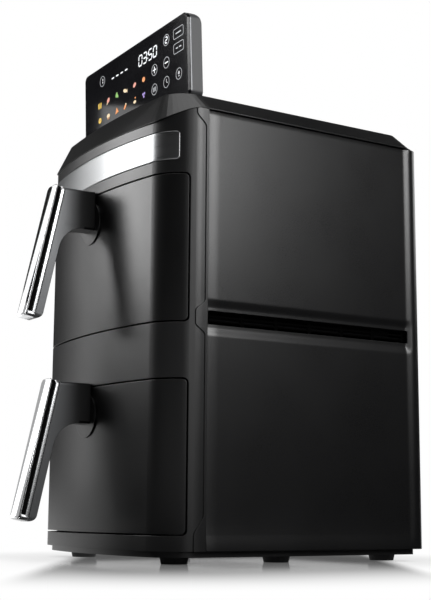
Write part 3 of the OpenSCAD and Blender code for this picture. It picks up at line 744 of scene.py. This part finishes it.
@dataclass
class SidePanels:
    """The two moulded side panels, each with two fields whose edges roll in at the air slot between them."""

    half_width: float = 0.132
    front: float = 0.05225
    back: float = 0.298
    low: float = 0.0116
    high: float = 0.4037
    corner: float = 0.011
    wall: float = 0.002
    depth: float = 0.0013
    roll: float = 0.0013
    slope: float = 0.0085
    fields: tuple = ((0.0, 0.2055), (0.2225, 0.4070))
    field_back: float = 0.2862
    foot: float = 0.022
    slot_low: float = 0.208
    slot_high: float = 0.220
    slot_back: float = 0.281
    corner_turn: float = 80.0
    corner_steps: int = 12
    coarse: float = 0.012
    fine: float = 0.0009
    fine_steps: int = 11
    closest: float = 0.0003
    slot_clear: float = 0.0002
    edge_round: float = 0.0008

    def _press(self, y: float, z: float) -> float:
        """How deep the face lies behind the rim at a place.

        Args:
            y: Depth behind the front.
            z: Height above the floor.

        Returns:
            The depth behind the rim's plane.
        """
        rise = 0.0
        for low, high in self.fields:
            rise = max(rise, blend_step((z - low) / self.slope) * blend_step((high - z) / self.slope))
        rim = blend_step((y - self.field_back + self.slope) / self.slope)
        flare = blend_step((self.low + self.foot - z) / self.foot)
        return (self.depth + self.roll * (1 - rise)) * (1 - rim) * (1 - flare)

    def _stations(self, start: float, end: float, marks: Iterable[float]) -> list[float]:
        """Places along one direction, close together near the fields' slopes.

        Args:
            start: The first place.
            end: The last place.
            marks: Where slopes start or end.

        Returns:
            The places in order.
        """
        places = {round(start, 5), round(end, 5)}
        for mark in marks:
            for k in range(-self.fine_steps, self.fine_steps + 1):
                place = mark + k * self.fine
                if start < place < end:
                    places.add(round(place, 5))
        ordered = sorted(places)
        filled = []
        for a, b in zip(ordered, ordered[1:]):
            if b - a < self.closest and filled:
                continue
            steps = max(1, round((b - a) / self.coarse))
            filled += [a + (b - a) * i / steps for i in range(steps)]
        return filled + [end]

    def _rows(self, side: int) -> list[list[Point]]:
        """The outer face's points.

        Args:
            side: 1 for the right panel, -1 for the left.

        Returns:
            Rows of points from the bottom up.
        """
        arc_start = self.back - self.corner
        half = self.slope / 2
        ys = self._stations(self.front, arc_start, (self.field_back - half, self.slot_back))
        ys = [y for y in ys if abs(y - self.slot_back) > self.slot_clear or y == self.slot_back]
        marks = [m for low, high in self.fields for m in (low + half, high - half)]
        zs = self._stations(self.low, self.high, marks + [self.low + half, self.slot_low, self.slot_high])
        rows = []
        for z in zs:
            row = [(side * (self.half_width - self._press(y, z)), NOSE_Y + y, z) for y in ys]
            for i in range(1, self.corner_steps + 1):
                turn = math.radians(self.corner_turn * i / self.corner_steps)
                x = side * (self.half_width - self.corner * (1 - math.cos(turn)))
                row.append((x, NOSE_Y + arc_start + self.corner * math.sin(turn), z))
            rows.append(row if side > 0 else row[::-1])
        return rows

    def _in_slot(self, middle: Vector) -> bool:
        """Whether a place lies in the air slot."""
        return self.slot_low < middle.z < self.slot_high and middle.y - NOSE_Y < self.slot_back

    def build(self) -> None:
        """Builds both panels."""
        for side, word in ((1, "right"), (-1, "left")):
            panel = sheet(f"side_{word}_moulded", self._rows(side), self._in_slot)
            modify(panel, "SOLIDIFY", thickness=self.wall, offset=-1.0)
            round_edges(panel, self.edge_round, 3)
            smooth(panel, 40.0)
            Finish.SIDE.dress(panel)
            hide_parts(f"side_panel_{word}")
            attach(panel, Body.HOUSING.value)
            log.info("%s built", panel.name)


@dataclass
class ChromeBand:
    """The bowed chrome band, with softly rolled edges."""

    bow: float = 0.4991
    corner: float = 0.0371
    corner_x: float = 0.094
    end_y: float = 0.026
    low: float = 0.3544
    high: float = 0.3814
    edge: float = 0.0011
    end_round: float = 0.004
    wall: float = 0.0016
    proud: float = 0.0003
    corner_steps: int = 24
    bow_steps: int = 32
    flat_steps: int = 12
    end_levels: tuple = (0, 0.012, 0.03, 0.055, 0.085, 0.12, 0.16)
    edge_levels: tuple = (0, 0.04, 0.12, 0.25, 0.45, 0.7, 1.0)
    end_gap: float = 0.02

    def _path(self) -> list[tuple[float, float, float, float]]:
        """The band's plan from one end to the middle.

        Returns:
            Places with their outward direction as (x, y, nx, ny), the end first.
        """
        bow_centre = self.bow - self.proud
        limit = math.asin(self.corner_x / (self.bow - self.corner))
        corner_y = bow_centre - (self.bow - self.corner) * math.cos(limit)
        end = math.acos(max(-1.0, (corner_y - self.end_y) / self.corner))
        shares = [i / self.corner_steps for i in range(self.corner_steps + 1)]
        shares = [*self.end_levels, *(t for t in shares if t > self.end_levels[-1] + self.end_gap)]
        path = []
        for angle in (end + (limit - end) * t for t in shares):
            nx, ny = math.sin(angle), -math.cos(angle)
            path.append((self.corner_x + self.corner * nx, corner_y + self.corner * ny, nx, ny))
        for i in range(1, self.bow_steps + 1):
            angle = limit * (1 - i / self.bow_steps)
            nx, ny = math.sin(angle), -math.cos(angle)
            path.append((self.bow * nx, bow_centre + self.bow * ny, nx, ny))
        return path

    def _heights(self, span: float) -> list[float]:
        """Heights up the band's face, close together at its rolled edges.

        Args:
            span: The face's height.

        Returns:
            The heights from the bottom up.
        """
        roll = [level * self.edge for level in self.edge_levels]
        flat = span - 2 * self.edge
        middle = [self.edge + flat * i / self.flat_steps for i in range(1, self.flat_steps)]
        return roll + middle + [span - up for up in reversed(roll)]

    def _column(self, place: tuple[float, float, float, float], end: float) -> list[Point]:
        """The band's face at one place of its plan.

        Args:
            place: The place with its outward direction.
            end: How far it lies from the nearer end.

        Returns:
            Its points from the bottom up.
        """
        x, y, nx, ny = place
        cut = 0.0
        if end < self.end_round:
            cut = self.end_round - math.sqrt(self.end_round**2 - (self.end_round - end) ** 2)
        span = self.high - self.low - 2 * cut
        points = []
        for up in self._heights(span):
            near = min(1.0, min(up, span - up, end) / self.edge)
            sink = self.edge * (1 - math.sqrt(max(0.0, 1 - (1 - near) ** 2)))
            points.append((x - nx * sink, NOSE_Y + y - ny * sink, self.low + cut + up))
        return points

    def build(self) -> None:
        """Builds the band."""
        half = self._path()
        path = half + [(-x, y, -nx, ny) for x, y, nx, ny in half[-2::-1]]
        run = [0.0]
        for a, b in zip(path, path[1:]):
            run.append(run[-1] + math.dist(a[:2], b[:2]))
        columns = [self._column(place, min(s, run[-1] - s)) for place, s in zip(path, run)]
        rows = [row[::-1] for row in zip(*columns)]
        band = sheet("chrome_band_rolled", rows)
        modify(band, "SOLIDIFY", thickness=self.wall, offset=-1.0)
        smooth(band, 50.0)
        Finish.BAND.dress(band)
        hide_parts("chrome_band")
        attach(band, Body.HOUSING.value)
        log.info("%s built", band.name)


# ---------- drawers ----------


@dataclass
class Grip:
    """The chrome-faced grip of one drawer, in layers from its face to its back."""

    body: Body
    word: str
    above: float = 0.007
    out: float = 0.0412
    lean: float = math.radians(12.3)
    width: float = 0.0216
    length: float = 0.1305
    radius: float = 0.0045
    face: float = 0.0018
    strip_front: float = 0.0054
    strip_back: float = 0.0094
    cap: float = 0.003
    cap_radius: float = 0.0028
    face_round: float = 0.0015
    strip_round: float = 0.0009
    cap_round: float = 0.0006

    def _seat(self, piece: bpy.types.Object, depth: float) -> None:
        """Lays a plate in the grip's leaning frame.

        Args:
            piece: The plate, drawn with its top at the origin and its thickness along Z.
            depth: Its front's depth behind the chrome face.
        """
        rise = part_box(f"drawer_front_{self.word}")[1].z + self.above
        top = Vector((0.0, NOSE_Y - self.out, rise))
        lean = Matrix.Rotation(-self.lean, 4, "X")
        piece.data.transform(Matrix.Translation(top) @ lean @ Matrix.Translation((0, depth, 0)) @ UPRIGHT)

    def build(self) -> None:
        """Builds the chrome face and the bright strip with its end cap."""
        outline = round_outline(self.width, self.length, self.radius, (0.0, -self.length / 2), 10)
        face = plates(f"grip_face_{self.word}_rolled", [outline], self.face)
        round_edges(face, self.face_round, 6)
        smooth(face, 50.0)
        self._seat(face, self.face)
        Finish.CHROME.dress(face)
        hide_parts(f"grip_face_{self.word}")
        strip = plates(f"grip_strip_{self.word}", [outline], self.strip_back - self.strip_front)
        round_edges(strip, self.strip_round, 4)
        self._seat(strip, self.strip_back)
        foot = round_outline(self.width, 2 * self.cap, self.cap_radius, (0.0, self.cap - self.length))
        cap = plates("cap", [foot], self.strip_back - self.face)
        round_edges(cap, self.cap_round, 3)
        self._seat(cap, self.strip_back)
        strip = join([strip, cap], f"grip_bezel_{self.word}_rolled")
        smooth(strip, 50.0)
        Finish.STRIP.dress(strip)
        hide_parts(f"grip_bezel_{self.word}")
        for piece in (face, strip):
            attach(piece, self.body.value)
            log.info("%s built", piece.name)


# ---------- touch panel ----------


class Glow(Enum):
    """The colours of the lit symbols."""

    WHITE = Lamp("lit_white", (0.86, 0.88, 0.90))
    DIM = Lamp("lit_dim_white", (0.42, 0.43, 0.45))
    YELLOW = Lamp("lit_yellow", (0.84, 0.55, 0.06))
    ORANGE = Lamp("lit_orange", (0.80, 0.27, 0.05))
    GREEN = Lamp("lit_green", (0.22, 0.48, 0.10))
    PINK = Lamp("lit_pink", (0.75, 0.30, 0.22))
    CREAM = Lamp("lit_cream", (0.80, 0.62, 0.38))
    BROWN = Lamp("lit_brown", (0.42, 0.18, 0.06))
    PURPLE = Lamp("lit_purple", (0.34, 0.24, 0.62))

    def dress(self, piece: bpy.types.Object) -> None:
        """Puts the lamp's material on a piece."""
        piece.data.materials.clear()
        piece.data.materials.append(bpy.data.materials.get(self.value.name) or self.value.build())


@dataclass
class TouchPanel:
    """Lit symbols on the tilting panel's glass."""

    glass_off: float = 0.0122
    lean: float = math.radians(2.0)
    lift: float = 0.00005
    layer: float = 0.00002
    rise: float = 0.00012
    stroke: float = 0.00048
    ring: float = 11.2
    slant: float = 0.08
    gap: float = 0.25
    segments: dict = field(
        default_factory=lambda: {"0": "abcdef", "1": "bc", "2": "abged", "3": "abgcd", "5": "afgcd"}
    )

    def _lay(self, name: str, outlines: list, glow: Glow, line: float = 0.0, level: int = 0) -> None:
        """Lays lit shapes on the glass.

        Args:
            name: The piece's name.
            outlines: The shapes in millimetres across the panel and up from its hinge.
            glow: Their colour.
            line: Width of the line, in metres, where only their rims are lit.
            level: How many layers lie under them.
        """
        scaled = [[(x / 1000, y / 1000) for x, y in outline] for outline in outlines]
        piece = plates(name, scaled, self.rise, line)
        low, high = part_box("hinge_pins")
        hinge = Vector((0.0, (low.y + high.y) / 2, (low.z + high.z) / 2))
        seat = Matrix.Translation(hinge) @ Matrix.Rotation(self.lean, 4, "X")
        ahead = self.glass_off + self.lift + self.layer * level
        piece.data.transform(seat @ Matrix.Translation((0, -ahead, 0)) @ UPRIGHT)
        glow.dress(piece)
        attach(piece, Body.PANEL.value)
        log.info("%s built", name)

    def _digit(self, sign: str, x: float, y: float, w: float = 6.6, h: float = 10.4, t: float = 1.5) -> list:
        """A seven-segment digit.

        Args:
            sign: The digit.
            x: Its left edge.
            y: Its foot.
            w: Its width.
            h: Its height.
            t: Its stroke.

        Returns:
            Its lit segments' outlines.
        """
        half = h / 2
        corners = {"a": ((0, h), (w, h)), "g": ((0, half), (w, half)), "d": ((0, 0), (w, 0))}
        corners |= {"f": ((0, half), (0, h)), "b": ((w, half), (w, h))}
        corners |= {"e": ((0, 0), (0, half)), "c": ((w, 0), (w, half))}
        lit = []
        for key in self.segments[sign]:
            (x0, y0), (x1, y1) = corners[key]
            dx, dy = (self.gap, 0) if y0 == y1 else (0, self.gap)
            start = (x + x0 + dx + self.slant * y0, y + y0 + dy)
            end = (x + x1 - dx + self.slant * y1, y + y1 - dy)
            lit.append(bar(start, end, t))
        return lit

    def build(self) -> None:
        """Builds every symbol."""
        foot = 60.4
        places = zip("0350", (13.0, 22.4, 33.2, 42.6))
        time = [stroke for sign, x in places for stroke in self._digit(sign, x, foot)]
        colon = [oval(1.5, 1.5, (31.6 + self.slant * y, foot + y), count=10) for y in (3.0, 7.4)]
        dashes = [bar((x - 2.9, 65.6), (x + 2.9, 65.6), 1.5) for x in (-43.1, -33.3, -23.4, -13.6)]
        self._lay("display_time", time + colon, Glow.WHITE)
        self._lay("display_dashes", dashes, Glow.WHITE)
        rings = [(-67.1, 69.3), (68.8, 69.7), (44.8, 47.4), (68.4, 47.5)]
        rings += [(44.2, 28.0), (67.7, 28.4), (91.5, 29.5)]
        circles = [oval(self.ring, self.ring, centre, count=40) for centre in rings]
        self._lay("key_rings", circles, Glow.DIM, self.stroke)
        keys = [round_outline(19.0, 10.0, 2.2, (91.8, y), 5) for y in (69.8, 55.3)]
        self._lay("key_frames", keys, Glow.DIM, self.stroke)
        strokes = self._digit("1", -70.4, 66.4, 4.0, 5.8, 1.3)
        strokes += self._digit("2", 66.6, 66.8, 4.0, 5.8, 1.3)
        strokes += [bar((41.3, 47.4), (48.3, 47.4), 1.2), bar((44.8, 43.9), (44.8, 46.8), 1.2)]
        strokes += [bar((44.8, 48.0), (44.8, 50.9), 1.2), bar((64.9, 47.5), (71.9, 47.5), 1.2)]
        self._lay("key_signs", strokes, Glow.WHITE)
        waves = [bar((x, 25.6), (x, 30.4), 1.0) for x in (42.0, 44.2, 46.4)]
        clock = [bar((67.7, 28.4), (67.7, 31.6), 0.9), bar((67.9, 28.1), (70.2, 27.2), 0.9)]
        lamp = [oval(3.4, 3.4, (91.5, 30.4), count=14), bar((90.3, 27.4), (92.7, 27.4), 1.0)]
        marks = [bar((86.5, 69.8), (97.1, 69.8), 1.2)]
        marks += [bar((x, 55.3), (x + 4.4, 55.3), 1.2) for x in (86.5, 92.7)]
        self._lay("key_symbols", waves + clock + lamp + marks, Glow.DIM)
        self._foods()

    def _foods(self) -> None:
        """The two rows of small pictures for the cooking programmes."""
        x0, x1, x2, x3, x4, x5 = -73.5, -54.0, -34.7, -16.6, 3.8, 22.8
        top, low = 44.4, 28.4
        chips = [bar((x0 + dx, top - 3.4), (x0 + 1.3 * dx, top + 3.2), 1.5) for dx in (-2.4, 0.0, 2.4)]
        berries = ((-1.6, 1.2), (1.4, 1.5), (0.0, -1.4))
        shapes = {
            Glow.YELLOW: chips + [oval(6.4, 5.8, (x0, low), 10.0)],
            Glow.PINK: [oval(6.6, 4.6, (x1, top + 0.6), 35.0), oval(6.4, 4.2, (x4, top), 25.0)],
            Glow.GREEN: [
                oval(6.0, 3.4, (x2 - 0.6, top + 1.0), 60.0),
                oval(4.4, 2.6, (x2 + 1.8, top - 0.6), 120.0),
            ],
            Glow.CREAM: [
                bar((x1 - 3.6, top - 3.4), (x1 - 1.4, top - 1.4), 1.3),
                oval(7.4, 3.8, (x3, top), -20.0),
                [(x3 + 2.4, top - 1.0), (x3 + 4.9, top - 3.4), (x3 + 5.0, top + 1.0)],
                oval(6.8, 4.6, (x1, low), 0.0),
                oval(2.4, 2.4, (x3 + 1.4, low + 1.6)),
                oval(5.6, 3.2, (x4, low - 1.4), 0.0),
            ],
            Glow.ORANGE: [
                oval(5.8, 5.0, (x5, top), 0.0),
                [(x2 - 3.4, low - 2.8), (x2 + 3.6, low - 1.6), (x2 - 0.4, low + 3.8)],
                oval(6.2, 3.0, (x3 - 0.4, low - 0.8), 40.0),
                oval(2.2, 1.8, (x4 + 1.2, low + 2.6), 0.0),
            ],
            Glow.BROWN: [oval(5.6, 2.2, (x1, low - 2.6), 0.0), oval(3.4, 1.6, (x0 + 0.4, low + 0.2), 10.0)],
            Glow.PURPLE: [oval(2.6, 2.6, (x5 + dx, low + dy)) for dx, dy in berries],
        }
        for level, (glow, outlines) in enumerate(shapes.items()):
            self._lay(f"programme_{glow.name.lower()}", outlines, glow, level=level)


# ---------- studio ----------


@dataclass(frozen=True)
class Softbox:
    """One area lamp round the object, placed in degrees and metres from the point that it faces.

    The azimuth counts from straight ahead of the drawers, positive towards +X, and the level is
    the lamp's brightness as seen in a mirror.
    """

    name: str
    azimuth: float
    elevation: float
    away: float
    width: float
    height: float
    level: float
    aim: Point = (0.05, -0.10, 0.25)

    def hang(self) -> None:
        """Adds the lamp."""
        turn, rise = math.radians(self.azimuth), math.radians(self.elevation)
        flat = math.cos(rise)
        towards = Vector((math.sin(turn) * flat, -math.cos(turn) * flat, math.sin(rise)))
        data = bpy.data.lights.new(self.name, "AREA")
        data.shape = "RECTANGLE"
        data.size, data.size_y = self.width, self.height
        data.energy = self.level * math.pi * self.width * self.height
        lamp = bpy.data.objects.new(self.name, data)
        bpy.context.collection.objects.link(lamp)
        lamp.location = Vector(self.aim) + towards * self.away
        lamp.rotation_euler = towards.to_track_quat("Z", "Y").to_euler()
        log.info("%s hung", self.name)


@dataclass
class Studio:
    """Camera, world, floor and lamps."""

    camera_at: Point = (1.043353, -0.50079 + NOSE_Y, 0.047511)
    azimuth: float = 58.411
    pitch: float = 9.658
    roll: float = 0.41
    lens: float = 73.77
    polish: float = 0.85
    polish_fade: float = 0.32
    glance: Flat = (0.80, 0.92)
    shadow: float = 0.4
    shadow_reach: Flat = (0.16, 0.02)
    sight_right: Flat = (0.524, 0.852)
    lamps: tuple = (
        Softbox("left_softbox", -44.0, 25.0, 1.6, 0.62, 0.92, 8.0),
        Softbox("left_grey", -68.0, 6.0, 1.9, 0.7, 0.7, 0.4),
        Softbox("upper_grip_card", -73.6, 20.3, 0.5, 0.08, 0.26, 1.3, (0.0, -0.172, 0.285)),
        Softbox("lower_grip_card", -69.9, 11.9, 0.5, 0.08, 0.26, 1.3, (0.0, -0.172, 0.102)),
        Softbox("right_wall", 92.0, 16.0, 2.2, 0.9, 1.4, 1.4),
        Softbox("right_high", 111.0, 23.0, 1.7, 0.42, 0.74, 12.5, (0.13, -0.03, 0.30)),
        Softbox("overhead", 20.0, 86.0, 1.8, 1.5, 1.5, 2.0),
        Softbox("back_softbox", 180.0, 25.0, 1.9, 1.0, 1.0, 2.5),
    )

    def build(self) -> None:
        """Sets camera, world, floor and lamps."""
        self._camera()
        self._world()
        self._floor()
        for lamp in self.lamps:
            lamp.hang()

    def _camera(self) -> None:
        """Places the camera by its pose."""
        az, up, turn = (math.radians(a) for a in (self.azimuth, self.pitch, self.roll))
        ahead = Vector((-math.sin(az) * math.cos(up), math.cos(az) * math.cos(up), math.sin(up)))
        right = Vector((math.cos(az), math.sin(az), 0.0))
        above = right.cross(ahead)
        side = right * math.cos(turn) + above * math.sin(turn)
        top = above * math.cos(turn) - right * math.sin(turn)
        data = bpy.data.cameras.new("camera")
        data.lens = self.lens
        data.sensor_width = 36.0
        data.clip_start = 0.01
        camera = bpy.data.objects.new("camera", data)
        bpy.context.collection.objects.link(camera)
        turnings = Matrix((side, top, -ahead)).transposed().to_4x4()
        camera.matrix_world = Matrix.Translation(self.camera_at) @ turnings
        bpy.context.scene.camera = camera

    def _world(self) -> None:
        """White behind the object, and dim grey light from all round."""
        world = bpy.data.worlds.new("studio")
        bpy.context.scene.world = world
        world.use_nodes = True
        tree = world.node_tree
        tree.nodes.clear()
        out = tree.nodes.new("ShaderNodeOutputWorld")
        path = tree.nodes.new("ShaderNodeLightPath")
        levels = {"Is Glossy Ray": 0.015, "Is Transmission Ray": 1.0, "Is Camera Ray": 1.0}
        shown = self._background(tree, 0.3)
        for ray, strength in levels.items():
            mix = tree.nodes.new("ShaderNodeMixShader")
            tree.links.new(path.outputs[ray], mix.inputs[0])
            tree.links.new(shown.outputs[0], mix.inputs[1])
            tree.links.new(self._background(tree, strength).outputs[0], mix.inputs[2])
            shown = mix
        tree.links.new(shown.outputs[0], out.inputs[0])

    @staticmethod
    def _background(tree: bpy.types.NodeTree, strength: float) -> bpy.types.Node:
        """Adds one even white background.

        Args:
            tree: The world's node tree.
            strength: Its brightness.

        Returns:
            The node.
        """
        light = tree.nodes.new("ShaderNodeBackground")
        light.inputs["Color"].default_value = (1, 1, 1, 1)
        light.inputs["Strength"].default_value = strength
        return light

    @staticmethod
    def _away(graph: Graph, axes: Sequence[Term]) -> Term:
        """How far a place on the floor lies outside the housing's base.

        Args:
            graph: The floor's material graph.
            axes: The place's X and Y.

        Returns:
            The distance in metres.
        """
        low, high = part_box("base_plate")
        gaps = []
        for k, axis in enumerate(axes):
            edge = (axis - (low[k] + high[k]) / 2).magnitude() - (high[k] - low[k]) / 2
            gaps.append(graph.node("ShaderNodeMath", {"operation": "MAXIMUM"}, {0: edge, 1: 0.0}))
        return (gaps[0] * gaps[0] + gaps[1] * gaps[1]) ** 0.5

    @staticmethod
    def _mirrored(axes: Sequence[Term]) -> Term:
        """How bright the floor is in reflections: full at the left, about half in front and at the right.

        Args:
            axes: The place's X and Y.

        Returns:
            The brightness.
        """
        x, y = axes
        left = (y * 0.71 - x * 0.71).soft_step(-0.16, 0.02) * x.soft_step(0.15, 0.0)
        front = x.soft_step(-0.35, 0.0) * y.soft_step(-0.45, -0.75) * 0.4
        right = x.soft_step(0.35, 0.80) * y.soft_step(0.40, -0.10) * 0.6
        return (left + front + right).clamp()

    def _floor(self) -> None:
        """A pale polished floor that mirrors the object's foot and keeps its shadow."""
        bpy.ops.object.select_all(action="DESELECT")
        bpy.ops.mesh.primitive_plane_add(size=40.0, location=(0, 0, 0))
        floor = bpy.context.active_object
        floor.name = "floor"
        g = Graph("pale_floor")
        axes = [g.node("ShaderNodeSeparateXYZ", {}, {"Vector": g.place()}, axis) for axis in "XY"]
        away = self._away(g, axes)
        # polished only at a glancing view
        facing = g.node("ShaderNodeLayerWeight", {}, {"Blend": 0.5}, "Facing")
        polish = away.soft_step(self.polish_fade, 0.0) * facing.soft_step(*self.glance) * self.polish
        # and only in a strip as wide as the object, seen from the camera
        across = axes[0] * self.sight_right[0] + axes[1] * self.sight_right[1]
        polish = polish * across.soft_step(-0.128, -0.100) * across.soft_step(0.196, 0.172)
        # painted shade: less of the even white near the base, where the matte floor and its real shadow show
        # through
        shade = away.soft_step(*self.shadow_reach) * self.shadow
        speck = g.noise(60.0, 4.0)
        matte = g.node("ShaderNodeBsdfDiffuse", {}, {"Color": g.blend(speck, (0.80,) * 3, (0.84,) * 3)})
        lit = g.node("ShaderNodeEmission", {}, {"Color": (1, 1, 1, 1), "Strength": 1.0})
        bright = self._mirrored(axes)
        mirrored = g.node("ShaderNodeEmission", {}, {"Color": (1, 1, 1, 1), "Strength": bright})
        sheen = g.node("ShaderNodeBsdfGlossy", {}, {"Color": (0.9, 0.9, 0.9, 1.0), "Roughness": 0.08})
        camera = g.node("ShaderNodeLightPath", {}, {}, "Is Camera Ray")
        glossy = g.node("ShaderNodeLightPath", {}, {}, "Is Glossy Ray")
        pale = g.node("ShaderNodeMixShader", {}, {0: camera * (1.0 - shade), 1: matte, 2: lit})
        shown = g.node("ShaderNodeMixShader", {}, {0: camera * polish, 1: pale, 2: sheen})
        seen = g.node("ShaderNodeMixShader", {}, {0: glossy, 1: shown, 2: mirrored})
        surface = g.tree.nodes.new("ShaderNodeOutputMaterial")
        g.tree.links.new(seen.socket, surface.inputs["Surface"])
        floor.data.materials.append(g.material)


def main() -> None:
    """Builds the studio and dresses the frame."""
    logging.basicConfig(level=logging.INFO)
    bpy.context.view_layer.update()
    bpy.context.scene.view_settings.view_transform = "Standard"
    Studio().build()
    dress_nodes()
    SidePanels().build()
    ChromeBand().build()
    Grip(Body.UPPER, "upper").build()
    Grip(Body.LOWER, "lower").build()
    TouchPanel().build()


if __name__ == "__main__":
    main()
